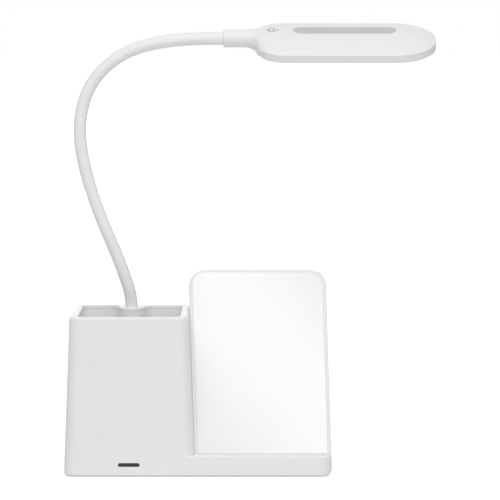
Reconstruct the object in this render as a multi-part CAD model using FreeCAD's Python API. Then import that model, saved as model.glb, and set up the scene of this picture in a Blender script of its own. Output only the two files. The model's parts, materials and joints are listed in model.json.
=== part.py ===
import FreeCAD, Part
import math
import os

# A desk lamp whose base is a pen holder with a phone rest beside it.  A gooseneck rises from the
# back wall of the pen holder and carries a flat paddle-shaped head.  Millimetres, +Z up, +X to the
# user's right, +Y away from the user.  The origin is the centre of the base on the desk.

V = FreeCAD.Vector
UP = V(0, 0, 1)
ALONG_Y = V(0, 1, 0)

# ---- base housing -------------------------------------------------------------------------------
rest_width = 90.1            # phone rest, at the desk, beside the pen holder
base_depth = 79.0
base_corner = 7.0            # plan radius of the upright edges
foot_height = 0.8            # the housing clears the desk by this much
housing_wall = 2.4
face_draft = 2.1             # degrees: front, back and left faces lean in
side_draft = 2.2             # degrees: the left face of the phone rest leans to the left
right_draft = 1.4            # degrees: its right face leans to the left as well

tower_width = 86.1           # pen holder, at the desk
tower_height = 105.0
rim_width = 5.6              # width of the holder's rim
rim_thickness = 3.0
rim_rounding = 2.0

plinth_height = 14.0         # top of the ledge that a phone stands on
ledge_depth = 9.5
ledge_rounding = 1.5
bottom_rounding = 1.2        # lower edge of the housing
end_rounding = 4.5           # lower right end of the housing, seen from the front
rest_height = 131.5          # top of the phone rest
rest_lean = 16.0             # degrees that the phone leans back
rest_top_depth = 12.0
rest_front_wall = 3.9
rest_corner = 11.0
rest_edge = 0.8              # rounding of the edges of the phone rest

# ---- phone panel --------------------------------------------------------------------------------
panel_margin = 2.3           # housing left showing beside the panel
panel_top_margin = 0.9       # and above it
panel_thickness = 2.0
panel_corner = 9.0
panel_gap = 0.2
panel_lift = 0.3             # lower edge of the panel above the ledge
peg_radius = 2.0
peg_length = 3.2
peg_clearance = 0.15
peg_from_ledge = 22.0
peg_from_top = 26.0
peg_from_side = 18.0

# ---- pen cup and the column for the neck --------------------------------------------------------
cup_wall = 1.8
cup_floor_top = 16.0
cup_floor_thickness = 2.0
cup_corner = 4.0
cup_screw_x = 22.0           # cup screws, each side of the cup's centre
bell_convex = 9.0            # plan radii of the bell-shaped column inside the cup
bell_concave = 8.0
bell_depth = 14.9            # how far the column stands out from the cup's back wall
column_plate = 7.0           # solid top of the column that the neck is clamped to

# ---- bottom ------------------------------------------------------------------------------------
cover_thickness = 2.0
cover_gap = 0.2
foot_thickness = 1.4
foot_inset = 6.0
foot_width = 7.0
screw_shank_radius = 1.4
screw_head_radius = 2.7
screw_head_height = 1.2
screw_drive_share = 0.7      # drive socket of a screw, across and deep, to its head's radius and height
boss_radius = 3.4
boss_inset = 8.0
boss_drop = 2.6              # the housing's bosses end this far below the cup
boss_blind = 1.5             # solid top of a boss, past its screw hole
screw_clearance = 0.2
cup_boss_length = 6.0        # bosses under the cup's floor

# ---- weight, battery and electronics -----------------------------------------------------------
ballast_length = 62.0
ballast_height = 8.6
ballast_inset = 14.0         # from the front of the base
ballast_clearance = 3.5      # between the ballast and the lamp lead behind it
ballast_float = 0.4          # air above and below the ballast
cell_radius = 9.2
cell_length = 65.2
cell_spacing = 19.4
cell_gap = 0.3
cell_edge = 0.7
cell_cap = 0.8               # the positive end stands out by this much
cell_cap_radius = 3.2
cradle_wall = 1.6
cradle_lift = 3.4            # underside of the cradle above the main board
cradle_back_gap = 0.6
cradle_foot_radius = 3.0
cradle_foot_reach = 2.4      # the cradle's feet stand this far from its end walls
cradle_arm = 2.4
contact_thickness = 0.5
contact_half_width = 4.0
contact_back_room = 1.8      # between the negative end of a cell and the cradle's end wall
contact_front_room = 3.0
contact_gap = 0.1
board_size = V(60.0, 34.0, 1.6)
board_inset = 17.2           # from the pen holder's right wall
cell_overhang = 6.0          # the cells start this far to the left of the main board
board_height = 7.0           # underside of the main board above the desk
board_back_gap = 0.4
usb_recess = 0.4             # the inlet's mouth stops this far inside the back face
usb_width = 9.0
usb_height = 3.3
usb_length = 7.4
usb_shell = 0.3
usb_gap = 0.25
indicator_length = 14.2
indicator_height = 2.4
indicator_inset = 42.9       # from the left end of the base
indicator_z = 8.2
indicator_flange = 1.0
led_pitch = 3.3

# ---- gooseneck ----------------------------------------------------------------------------------
neck_offset = -0.35          # from the middle of the pen cup
neck_inset = 6.9             # from the back of the pen cup
sleeve_radius = 4.25
sleeve_clearance = 0.2       # round the sleeve, in the rim of the pen holder
hose_radius = 2.25
hose_bore = 1.1
lead_radius = 0.8
hose_fit = 0.05              # radial play of the hose in the sleeve
bend_limit = 20.0            # degrees that each neck joint turns either way
socket_play = 0.25           # between a ball end and the next socket
socket_lip = 2.2             # a sleeve starts this far past its pivot
ball_length = 1.9            # a ball end stops this far past its pivot
socket_relief = 0.8          # the bore of a ball end opens out this far before its pivot
hose_stop = 0.55             # a hose stops this far from a pivot
lead_stop = 0.3
lead_bend = 5.0              # radius of the lead's bends in the base
lead_corner = 30.0           # the lead turns towards its plug this far to the right of the neck
lead_exit = 5.0              # straight run of the lead past the end of the hose
lead_head_bend = 3.0
plug_size = V(5.5, 7.0, 3.2)
plug_edge = 1.0              # the plug's place on the main board
plug_from_front = 11.0
neck_arcs = [                # length and turn of each arc, from the base to the head
    (19.4, -18.5), (31.5, -5.0), (31.5, 5.0), (31.5, 9.0), (31.5, 24.5),
    (31.5, 35.5), (31.5, 27.5), (31.5, 10.5), (17.6, 1.5)]
ferrule_flange_radius = 5.0
ferrule_flange = 2.0
ferrule_shank_radius = 3.3
ferrule_length = 12.0
ferrule_fit = 0.1
nut_across_flats = 10.0
nut_height = 4.0
washer_thickness = 1.0
washer_radius = 5.6

# ---- head ---------------------------------------------------------------------------------------
head_roll = 21.0             # degrees that the top of the head turns to the user
head_length = 142.0
head_half_width = 28.5
head_half_height = 6.0       # also the radius of the round neck of the head
head_neck_length = 14.0
head_shoulder = 42.0         # full width starts this far from the neck's end
shoulder_concave = 8.0
side_wall_reach = 16.0       # its side walls are full height this far past the round neck
head_side_wall = 5.4
hollow_sections = 4          # sections that shape the shoulder, along its hollow and its round arc
round_sections = 7
head_wall = 1.6
cavity_setback = 2.0         # from the round neck to the hollow of the head
opening_setback = 8.0        # and from there to the opening underneath
crease_angle = -25.0         # where the side wall of the head fades out on the round neck
lower_angle = -60.0
collar_seat = 3.0            # the sleeve is let into the head by this much
strip_start = 46.6
strip_past_tip = 1.5         # the inlay ends this far past the centre of the round tip
strip_width = 11.0
strip_depth = 0.7
strip_gap = 0.1
frame_thickness = 1.6
frame_gap = 0.2
window_start = 44.0
window_half_width = 20.5
window_corner = 9.0
diffuser_flange = 1.4
diffuser_lip = 1.0
diffuser_gap = 0.15
led_board_start = 47.0
led_board_half_width = 17.5
led_board_thickness = 1.0
led_board_underside = -0.4
led_rows = 4
led_columns = 8
led_size = V(3.5, 2.8, 0.7)
led_edge = 7.0               # from the ends of the board to the middle of the first and last chips
led_row_edge = 4.0           # from its sides to the middle of the outer rows
led_socket_v = 8.5           # place of the socket for the lamp lead
led_socket_w = -1.4
led_socket_size = V(4.5, 5.0, 2.2)
button_u = 32.3
button_radius = 2.7
button_gap = 0.3
button_travel = 0.4
button_proud = 0.3
button_flange = 0.9
button_flange_thickness = 0.6
button_board_half = 6.5
button_board_underside = -2.6
button_board_thickness = 1.0
switch_half = 3.0
switch_height = 1.9
plunger_radius = 1.0
plunger_play = 0.15
head_post_radius = 2.2
head_screw_radius = 0.8
head_screw_head_radius = 1.6
head_screw_head_height = 0.9
head_screw_length = 3.3
head_screw_inset = 12.0      # from the shoulder to the first screws
head_screw_tip_gap = 7.5     # from the last screws to the centre of the round tip
clamp_length = 4.0
clamp_start = 1.6            # from the head's round neck to the clamp on the lead
clamp_top = -1.3

# ---- what follows from them ---------------------------------------------------------------------
base_width = tower_width + rest_width
base_left = -base_width / 2
base_front = -base_depth / 2
tower_right = base_left + tower_width
lean = math.tan(math.radians(face_draft))
side_lean = math.tan(math.radians(side_draft))
right_lean = math.tan(math.radians(right_draft))
rest_slope = math.tan(math.radians(rest_lean))
panel_foot = base_front + ledge_depth
rest_top_front = panel_foot + (rest_height - plinth_height) * rest_slope
ledge_back = -base_front - plinth_height * lean
back_slope = (ledge_back - rest_top_front - rest_top_depth) / (rest_height - plinth_height)
cup_left = base_left + tower_height * lean + rim_width
cup_right = tower_right - tower_height * side_lean - rim_width
cup_back = base_depth / 2 - tower_height * lean - rim_width
cup_front = -cup_back
rim_underside = tower_height - rim_thickness
cover_bottom = foot_thickness
cover_top = cover_bottom + cover_thickness
cup_bottom = cup_floor_top - cup_floor_thickness
boss_top = cup_bottom - boss_drop
boss_hole_top = boss_top - boss_blind
cup_boss_bottom = cup_bottom - cup_boss_length
cup_middle = (cup_left + cup_right) / 2
bell_centre_y = cup_back - bell_depth + bell_convex
neck_x = cup_middle + neck_offset
neck_y = cup_back - neck_inset
board_left = tower_right + board_inset
indicator_x = base_left + indicator_inset
paddle_edge = head_side_wall - head_half_height
tip_centre = head_length - head_half_width
strip_length = tip_centre + strip_past_tip - strip_start
cavity_start = head_neck_length + cavity_setback
opening_start = cavity_start + opening_setback
clamp_u = cavity_start + clamp_start + clamp_length / 2
inner_top = head_half_height - head_wall
frame_top = -head_half_height + frame_thickness
board_top = led_board_underside + led_board_thickness
button_board_top = button_board_underside + button_board_thickness
switch_top = button_board_top + switch_height
cap_underside = inner_top - button_travel - button_flange_thickness
head_screw_u = (head_shoulder + head_screw_inset, tip_centre - head_screw_tip_gap)


def box(x0, x1, y0, y1, z0, z1):
    return Part.makeBox(x1 - x0, y1 - y0, z1 - z0, V(x0, y0, z0))


def cylinder(radius, bottom, height, direction=UP):
    return Part.makeCylinder(radius, height, bottom, direction)


def line(a, b):
    return Part.LineSegment(a, b).toShape()


def arc(a, middle, b):
    return Part.Arc(a, middle, b).toShape()


def arc_about(centre, radius, start, end):
    """Arc in a level plane about a centre, between two angles in degrees."""
    def at(angle):
        turn = math.radians(angle)
        return centre + V(radius * math.cos(turn), radius * math.sin(turn), 0)
    return arc(at(start), at((start + end) / 2), at(end))


def rounded_rectangle(x0, x1, y0, y1, radius, z):
    """Closed level outline with round corners."""
    return Part.Wire([
        line(V(x0 + radius, y0, z), V(x1 - radius, y0, z)),
        arc_about(V(x1 - radius, y0 + radius, z), radius, -90, 0),
        line(V(x1, y0 + radius, z), V(x1, y1 - radius, z)),
        arc_about(V(x1 - radius, y1 - radius, z), radius, 0, 90),
        line(V(x1 - radius, y1, z), V(x0 + radius, y1, z)),
        arc_about(V(x0 + radius, y1 - radius, z), radius, 90, 180),
        line(V(x0, y1 - radius, z), V(x0, y0 + radius, z)),
        arc_about(V(x0 + radius, y0 + radius, z), radius, 180, 270)])


def prism(wire, height):
    return Part.Face(wire).extrude(V(0, 0, height))


def fuse(shapes):
    whole = shapes[0].fuse(shapes[1:]) if len(shapes) > 1 else shapes[0]
    return whole.removeSplitter()


def upright(radius, x, y, z0, z1):
    return cylinder(radius, V(x, y, z0), z1 - z0)


def edges_where(shape, test):
    """Edges whose middle point passes the test."""
    found = []
    for edge in shape.Edges:
        middle = edge.valueAt((edge.FirstParameter + edge.LastParameter) / 2)
        if test(middle, edge):
            found.append(edge)
    return found


def is_level(edge):
    bounds = edge.BoundBox
    return bounds.ZLength < 0.01


# ---- base housing -------------------------------------------------------------------------------
def drafted_block(left, right, draft, inset, bottom, top):
    """Block with leaning faces and round upright edges, drawn in from the outside by inset."""
    radius = max(base_corner - inset, 1.0)
    sections = []
    for z in (bottom, top):
        sections.append(rounded_rectangle(
            left + z * lean + inset, right - z * draft - inset,
            base_front + z * lean + inset, -base_front - z * lean - inset, radius, z))
    return Part.makeLoft(sections, True, True)


def tower_form(inset, bottom, top):
    return drafted_block(base_left, tower_right, side_lean, inset, bottom, top)


def whole_base_form(inset, bottom, top):
    return drafted_block(base_left, -base_left, right_lean, inset, bottom, top)


def rest_front(z, inset=0.0):
    """Y of the leaning front face of the phone rest, inset square to the face."""
    return panel_foot + (z - plinth_height) * rest_slope + inset / math.cos(math.radians(rest_lean))


def rest_back(z):
    return ledge_back - (z - plinth_height) * back_slope


def rest_left(z):
    return tower_right - z * side_lean


def rest_right(z):
    return -base_left - z * right_lean


def rest_form(front_inset, inset, bottom):
    """Phone rest, from its side view and front view; it runs down into the plinth."""
    top = rest_height - inset
    side = [V(0, rest_front(bottom, front_inset), bottom), V(0, rest_front(top, front_inset), top),
            V(0, rest_back(top) - inset, top), V(0, rest_back(bottom) - inset, bottom)]
    reach = base_width
    side_view = Part.Face(Part.makePolygon(side + side[:1])).extrude(V(2 * reach, 0, 0))
    side_view.translate(V(-reach, 0, 0))
    front_view = [V(rest_left(bottom) + inset, -reach, bottom), V(rest_left(top) + inset, -reach, top),
                  V(rest_right(top) - inset, -reach, top), V(rest_right(bottom) - inset, -reach, bottom)]
    slab = Part.Face(Part.makePolygon(front_view + front_view[:1])).extrude(V(0, 2 * reach, 0))
    corners = edges_where(slab, lambda p, e: abs(p.z - top) < 0.01 and e.BoundBox.YLength > reach)
    slab = slab.makeFillet(rest_corner - inset, corners)
    return side_view.common(slab).common(whole_base_form(inset, bottom, rest_height))


def cup_outline(grow, z):
    """Plan of the pen cup's inside with the bell-shaped column in its back wall, grown outwards."""
    x0, x1 = cup_left - grow, cup_right + grow
    y0, y1 = cup_front - grow, cup_back + grow
    radius = cup_corner + grow
    convex, concave = bell_convex - grow, bell_concave + grow
    rise = cup_back - bell_concave - bell_centre_y
    reach = math.sqrt((bell_convex + bell_concave) ** 2 - rise ** 2)
    swing = math.degrees(math.atan2(rise, reach))
    right_hub = V(neck_x + reach, bell_centre_y + rise, z)
    left_hub = V(neck_x - reach, bell_centre_y + rise, z)
    hub = V(neck_x, bell_centre_y, z)
    return Part.Wire([
        line(V(x0 + radius, y0, z), V(x1 - radius, y0, z)),
        arc_about(V(x1 - radius, y0 + radius, z), radius, -90, 0),
        line(V(x1, y0 + radius, z), V(x1, y1 - radius, z)),
        arc_about(V(x1 - radius, y1 - radius, z), radius, 0, 90),
        line(V(x1 - radius, y1, z), V(right_hub.x, y1, z)),
        arc_about(right_hub, concave, 90, 180 + swing),
        arc_about(hub, convex, swing, -180 - swing),
        arc_about(left_hub, concave, -swing, 90),
        line(V(left_hub.x, y1, z), V(x0 + radius, y1, z)),
        arc_about(V(x0 + radius, y1 - radius, z), radius, 90, 180),
        line(V(x0, y1 - radius, z), V(x0, y0 + radius, z)),
        arc_about(V(x0 + radius, y0 + radius, z), radius, 180, 270)])


def housing_boss_places():
    """Plan positions of the six bosses that the bottom cover is screwed to."""
    x_left, x_right = base_left + boss_inset, -base_left - boss_inset
    y_front, y_back = base_front + boss_inset, -base_front - boss_inset
    x_middle = tower_right + boss_inset
    return [(x, y) for x in (x_left, x_middle, x_right) for y in (y_front, y_back)]


def cup_screw_places():
    return [(cup_middle - cup_screw_x, 0.0), (cup_middle + cup_screw_x, 0.0)]


def pocket_plate(inset, depth, lift):
    """Plate that follows the leaning front face: its outline is drawn in from the rest's edges."""
    top = rest_height - panel_top_margin - inset
    bottom = plinth_height + lift
    outline = [V(rest_left(bottom) + panel_margin + inset, 0, bottom),
               V(rest_left(top) + panel_margin + inset, 0, top),
               V(rest_right(top) - panel_margin - inset, 0, top),
               V(rest_right(bottom) - panel_margin - inset, 0, bottom)]
    slab = Part.Face(Part.makePolygon(outline + outline[:1])).extrude(V(0, base_depth, 0))
    corners = edges_where(slab, lambda p, e: abs(p.z - top) < 0.01 and e.BoundBox.YLength > 1)
    slab = slab.makeFillet(panel_corner - inset, corners)
    slab.translate(V(0, -base_depth / 2, 0))
    return slab.common(leaning_layer(0.0, depth))


def leaning_layer(near, far):
    """Layer parallel to the leaning front face, between two depths behind it."""
    low, high = -base_depth, 2 * rest_height
    side = [V(0, rest_front(low, near), low), V(0, rest_front(high, near), high),
            V(0, rest_front(high, far), high), V(0, rest_front(low, far), low)]
    layer = Part.Face(Part.makePolygon(side + side[:1])).extrude(V(2 * base_width, 0, 0))
    layer.translate(V(-base_width, 0, 0))
    return layer


def peg_places():
    """Centres on the front face of the pegs that hold the panel."""
    places = []
    for z in (plinth_height + peg_from_ledge, rest_height - peg_from_top):
        for x in (rest_left(z) + peg_from_side, rest_right(z) - peg_from_side):
            places.append(V(x, rest_front(z), z))
    return places


def leaning_pegs(radius, near, far):
    """Round pegs square to the leaning face, between two depths behind it."""
    inward = V(0, math.cos(math.radians(rest_lean)), -math.sin(math.radians(rest_lean)))
    return [cylinder(radius, place + inward * near, far - near, inward) for place in peg_places()]


def usb_place():
    """Middle of the inlet's mouth, just inside the back face of the housing."""
    z = board_height + board_size.z + usb_height / 2
    return V(board_left + board_size.x * 0.3, base_depth / 2 - z * lean - usb_recess, z)


def racetrack(length, width, z, centre):
    """Level outline with fully round ends, along X."""
    half, radius = length / 2 - width / 2, width / 2
    return Part.Wire([
        line(V(centre.x - half, centre.y - radius, z), V(centre.x + half, centre.y - radius, z)),
        arc_about(V(centre.x + half, centre.y, z), radius, -90, 90),
        line(V(centre.x + half, centre.y + radius, z), V(centre.x - half, centre.y + radius, z)),
        arc_about(V(centre.x - half, centre.y, z), radius, 90, 270)])


def slot_through_wall(length, width, centre, y0, y1):
    """Racetrack bar along Y, for a slot seen from the front or back."""
    bar = prism(racetrack(length, width, 0, V(0, 0, 0)), y1 - y0)
    bar.rotate(V(0, 0, 0), V(1, 0, 0), -90)
    bar.translate(V(centre.x, y0, centre.z))
    return bar


def end_corner():
    """What the round lower right end leaves off a square one."""
    x, y, z, r = rest_right(foot_height), -base_depth, foot_height, end_rounding
    cut_back = r * math.sqrt(0.5)
    profile = Part.Wire([
        arc(V(x, y, z + r), V(x - r + cut_back, y, z + r - cut_back), V(x - r, y, z)),
        line(V(x - r, y, z), V(x - r, y, z - r)),
        line(V(x - r, y, z - r), V(x + r, y, z - r)),
        line(V(x + r, y, z - r), V(x + r, y, z + r)),
        line(V(x + r, y, z + r), V(x, y, z + r))])
    return Part.Face(profile).extrude(V(0, 2 * base_depth, 0))


def plinth_form():
    """Lower part of the housing, with its lower edge and its right end rounded."""
    plinth = whole_base_form(0, foot_height, plinth_height).cut(end_corner())
    rounded = foot_height + end_rounding + 0.1
    plinth = plinth.makeFillet(bottom_rounding, edges_where(
        plinth, lambda p, e: e.BoundBox.ZMax < rounded))
    return plinth.makeFillet(ledge_rounding, edges_where(
        plinth, lambda p, e: abs(p.z - plinth_height) < 0.01))


def make_base_housing():
    tower = tower_form(0, plinth_height / 2, tower_height)
    tower = tower.makeFillet(rim_rounding, edges_where(
        tower, lambda p, e: abs(p.z - tower_height) < 0.01))
    plinth = plinth_form()
    rest = rest_form(0, 0, plinth_height - housing_wall)
    rest = rest.makeFillet(rest_edge, edges_where(
        rest, lambda p, e: p.z > plinth_height and abs(p.y - rest_front(p.z)) < 0.01
        and e.BoundBox.ZLength + e.BoundBox.XLength > 5))
    shell = tower.fuse([plinth, rest])
    shell = shell.cut(tower_form(housing_wall, 0, rim_underside))
    shell = shell.cut(whole_base_form(housing_wall, 0, plinth_height - housing_wall))
    shell = shell.cut(rest_form(rest_front_wall, housing_wall, plinth_height - 2 * housing_wall))
    shell = shell.cut(prism(cup_outline(0, rim_underside - 1), rim_thickness + 2))
    shell = shell.makeFillet(rim_rounding * 0.75, edges_where(
        shell, lambda p, e: abs(p.z - tower_height) < 0.01 and cup_left - 1 < p.x < cup_right + 1
        and cup_front - 1 < p.y < cup_back + 1))
    bosses = []
    for x, y in housing_boss_places():
        reach_wall = y + math.copysign(boss_inset, y)
        rib = box(x - 0.6, x + 0.6, min(y, reach_wall), max(y, reach_wall), cover_top, boss_top)
        column = upright(boss_radius, x, y, cover_top, boss_top)
        bosses.append(column.fuse(rib).common(whole_base_form(0.5, foot_height, plinth_height)))
    shell = shell.fuse(bosses)
    for x, y in housing_boss_places():
        shell = shell.cut(upright(screw_shank_radius, x, y, 0, boss_hole_top))
    shell = shell.cut(pocket_plate(0, panel_thickness + 0.1, panel_lift - panel_gap))
    shell = shell.cut(Part.makeCompound(leaning_pegs(peg_radius + peg_clearance, 0, rest_front_wall + 2)))
    shell = shell.cut(upright(sleeve_radius + sleeve_clearance, neck_x, neck_y,
                              rim_underside - 1, tower_height + 1))
    usb = usb_place()
    shell = shell.cut(slot_through_wall(usb_width + 2 * usb_gap, usb_height + 2 * usb_gap, usb,
                                        usb.y - 4, usb.y + 6))
    lens = V(indicator_x, 0, indicator_z)
    shell = shell.cut(slot_through_wall(indicator_length + 0.1, indicator_height + 0.1, lens,
                                        base_front - 1, base_front + housing_wall + 2))
    return shell.removeSplitter()


def make_phone_panel():
    plate = pocket_plate(panel_gap, panel_thickness, panel_lift)
    return fuse([plate] + leaning_pegs(peg_radius, panel_thickness - 0.5,
                                       panel_thickness + peg_length))


def make_pen_cup():
    cup = prism(cup_outline(cup_wall, cup_bottom), rim_underside - cup_bottom)
    plate_bottom = rim_underside - column_plate
    column_top = box(neck_x - bell_convex, neck_x + bell_convex, bell_centre_y - bell_convex,
                     cup_back + cup_wall, plate_bottom, rim_underside)
    bosses = [upright(boss_radius, x, y, cup_boss_bottom, cup_bottom) for x, y in cup_screw_places()]
    cup = cup.fuse([column_top] + bosses)
    cup = cup.cut(prism(cup_outline(0, cup_floor_top), rim_underside))
    cup = cup.cut(upright(ferrule_flange_radius + ferrule_fit, neck_x, neck_y,
                          rim_underside - ferrule_flange, rim_underside + 1))
    cup = cup.cut(upright(ferrule_shank_radius + ferrule_fit, neck_x, neck_y,
                          plate_bottom - 1, rim_underside))
    for x, y in cup_screw_places():
        cup = cup.cut(upright(screw_shank_radius, x, y, 0, cup_bottom))
    return cup.removeSplitter()


def make_indicator_lens():
    """Smoked lens: a racetrack bar through the front wall with a flange behind it."""
    place = V(indicator_x, 0, indicator_z)
    inner_face = base_front + indicator_z * lean + housing_wall
    bar = slot_through_wall(indicator_length, indicator_height, place,
                            base_front + indicator_z * lean + 0.15, inner_face + 0.4)
    flange = slot_through_wall(indicator_length + 2 * indicator_flange,
                               indicator_height + 2 * indicator_flange, place,
                               inner_face + 0.15, inner_face + 1.1)
    return fuse([bar, flange])


def indicator_board_box():
    y = base_front + indicator_z * lean + housing_wall + 3.2
    return box(indicator_x - 10, indicator_x + 10, y, y + 1.0, cover_top, indicator_z + 4.5)


def make_indicator_board():
    return indicator_board_box()


def make_indicator_leds():
    y = indicator_board_box().BoundBox.YMin
    leds = []
    for number in range(4):
        x = indicator_x + (number - 1.5) * led_pitch
        leds.append(box(x - 0.8, x + 0.8, y - 0.8, y, indicator_z - 0.5, indicator_z + 0.5))
    return Part.makeCompound(leds)


# ---- bottom -------------------------------------------------------------------------------------
def base_outline(inset, z):
    return rounded_rectangle(base_left + inset, -base_left - inset, base_front + inset,
                             -base_front - inset, max(base_corner - inset, 1.0), z)


def make_bottom_cover():
    inset = housing_wall + cover_gap + 0.2
    cover = prism(base_outline(inset, cover_bottom), cover_thickness)
    posts = [upright(boss_radius, x, y, cover_top, cup_boss_bottom) for x, y in cup_screw_places()]
    posts += [upright(boss_radius - 0.6, x, y, cover_top, board_height) for x, y in board_screw_places()]
    cover = cover.fuse(posts)
    for x, y in housing_boss_places() + cup_screw_places():
        cover = cover.cut(upright(screw_shank_radius + screw_clearance, x, y, 0, boss_top + 1))
        cover = cover.cut(upright(screw_head_radius + screw_clearance, x, y, 0,
                                  cover_bottom + screw_head_height))
    for x, y in board_screw_places():
        cover = cover.cut(upright(0.8, x, y, cover_top - 0.5, board_height + 1))
    return cover.removeSplitter()


def make_foot_ring():
    """One-piece anti-slip ring, stuck under the bottom cover."""
    outer = prism(base_outline(foot_inset, 0), foot_thickness)
    ring = outer.cut(prism(base_outline(foot_inset + foot_width, -1), foot_thickness + 2))
    for x, y in housing_boss_places():
        ring = ring.cut(upright(screw_head_radius + 1.2, x, y, -1, foot_thickness + 1))
    return ring


def hexagon(across_flats, place, height, direction=UP):
    """Six-sided bar along a direction."""
    corner = across_flats / math.sqrt(3)
    points = [V(corner * math.cos(math.radians(60 * i)), corner * math.sin(math.radians(60 * i)), 0)
              for i in range(7)]
    bar = Part.Face(Part.makePolygon(points)).extrude(V(0, 0, height))
    bar.Placement = FreeCAD.Placement(place, FreeCAD.Rotation(UP, direction))
    return bar


def screw(shank_radius, head_radius, head_height, place, length, direction=UP):
    """Cap screw: place is the top of its head, and the shank runs along direction."""
    head = cylinder(head_radius, place, head_height, direction)
    drive = hexagon(head_radius * screw_drive_share, place, head_height * screw_drive_share, direction)
    shank = cylinder(shank_radius, place + direction * head_height, length, direction)
    return head.cut(drive).fuse(shank)


def make_bottom_screws():
    screws = []
    for x, y in housing_boss_places():
        screws.append(screw(screw_shank_radius, screw_head_radius, screw_head_height,
                            V(x, y, cover_bottom), boss_hole_top - 0.3 - cover_bottom - screw_head_height))
    for x, y in cup_screw_places():
        screws.append(screw(screw_shank_radius, screw_head_radius, screw_head_height,
                            V(x, y, cover_bottom), cup_bottom - 1.0 - cover_bottom - screw_head_height))
    return Part.makeCompound(screws)


# ---- weight, battery and electronics ------------------------------------------------------------
def make_ballast_plate():
    low = cover_top + ballast_float
    front = base_front + ballast_inset
    back = lead_plug().y - lead_radius - ballast_clearance
    plate = box(cup_middle - ballast_length / 2, cup_middle + ballast_length / 2,
                front, back, low, low + ballast_height)
    plate = plate.makeFillet(3.0, edges_where(plate, lambda p, e: e.BoundBox.ZLength > 5))
    plate = plate.makeChamfer(0.8, edges_where(plate, lambda p, e: is_level(e)))
    for x, y in cup_screw_places():
        plate = plate.cut(upright(boss_radius + 0.4, x, y, 0, cup_bottom))
    return plate


def cell_places():
    x = board_left - cell_overhang
    z = board_height + board_size.z + cradle_lift + cradle_wall + cell_radius
    inside = rest_back(z + cell_radius) - housing_wall - cradle_back_gap
    y_back = inside - cradle_wall - cell_gap - cell_radius
    return [V(x, y_back - cell_spacing, z), V(x, y_back, z)]


def make_battery_cells():
    cells = []
    for place in cell_places():
        can = cylinder(cell_radius, place, cell_length, V(1, 0, 0))
        can = can.makeChamfer(cell_edge, edges_where(can, lambda p, e: e.BoundBox.XLength < 0.01))
        cells.append(can.fuse(cylinder(cell_cap_radius, place + V(cell_length, 0, 0), cell_cap, V(1, 0, 0))))
    return Part.makeCompound(cells)


def make_battery_cradle():
    """Tray with a half-round bed for each cell, end walls and feet beside the main board."""
    front, back = cell_places()
    x0, x1 = front.x - contact_back_room, front.x + cell_length + contact_front_room
    bottom = front.z - cell_radius - cradle_wall
    tray = box(x0 - cradle_wall, x1 + cradle_wall, front.y - cell_radius - cradle_wall,
               back.y + cell_radius + cradle_wall, bottom, front.z + 1)
    for place in (front, back):
        tray = tray.cut(cylinder(cell_radius + cell_gap, V(x0, place.y, place.z), x1 - x0, V(1, 0, 0)))
        tray = tray.cut(box(x0, x1, place.y - cell_radius - cell_gap, place.y + cell_radius + cell_gap,
                            place.z, place.z + 5))
    feet = []
    r, arm_top = cradle_foot_radius, bottom + cradle_arm
    out = cradle_wall + cradle_foot_reach
    for x, inner_x in ((x0 - out, x0), (x1 + out, x1)):
        for y in (front.y, back.y):
            arm = box(min(x, inner_x), max(x, inner_x), y - r, y + r, bottom, arm_top)
            feet.append(arm.fuse(upright(r, x, y, cover_top, arm_top)))
    return fuse([tray] + feet)


def make_contact_strips():
    """Nickel contacts at both ends of the cells, with a spring bump at each negative end."""
    front, back = cell_places()
    w, bump = contact_half_width, contact_back_room - 2 * contact_gap - contact_thickness
    negative_x = front.x - contact_back_room + 2 * contact_gap
    positive_x = front.x + cell_length + cell_cap + contact_gap
    strips = []
    for x in (negative_x, positive_x):
        for place in (front, back):
            strips.append(box(x, x + contact_thickness, place.y - w, place.y + w,
                              place.z - 1.5 * w, place.z + 0.75 * w))
    for place in (front, back):
        start = V(negative_x + contact_thickness, place.y, place.z)
        strips.append(cylinder(0.6 * w, start, bump, V(1, 0, 0)))
    return Part.makeCompound(strips)


def board_y():
    """Front edge of the main board: its back edge stops just short of the back wall."""
    inside = base_depth / 2 - (board_height + board_size.z) * lean - housing_wall
    return inside - board_back_gap - board_size.y


def board_screw_places():
    y0 = board_y()
    return [(board_left + 4, y0 + 4), (board_left + board_size.x - 4, y0 + 4)]


def make_main_board():
    y0 = board_y()
    board = box(board_left, board_left + board_size.x, y0, y0 + board_size.y,
                board_height, board_height + board_size.z)
    for x, y in board_screw_places():
        board = board.cut(upright(1.2, x, y, board_height - 1, board_height + 3))
    return board


def make_board_parts():
    """Charger chip, driver chip, coil, two capacitors and the plug for the lamp lead."""
    y0 = board_y()
    z = board_height + board_size.z
    x = board_left
    parts = [box(x + 12, x + 16, y0 + 10, y0 + 15, z, z + 1.2),
             box(x + 26, x + 30, y0 + 9, y0 + 14, z, z + 1.2),
             box(x + 34, x + 40, y0 + 8, y0 + 14, z, z + 2.4),
             box(x + 44, x + 47, y0 + 16, y0 + 18, z, z + 1.4),
             box(x + 44, x + 47, y0 + 20, y0 + 22, z, z + 1.4)]
    near, front = x + plug_edge, y0 + plug_from_front
    plug = box(near, near + plug_size.x, front, front + plug_size.y, z, z + plug_size.z)
    return Part.makeCompound(parts + [plug])


def make_board_screws():
    return Part.makeCompound([
        screw(0.8, 1.9, 0.9, V(x, y, board_height + board_size.z + 0.9), 3.4, V(0, 0, -1))
        for x, y in board_screw_places()])


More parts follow.
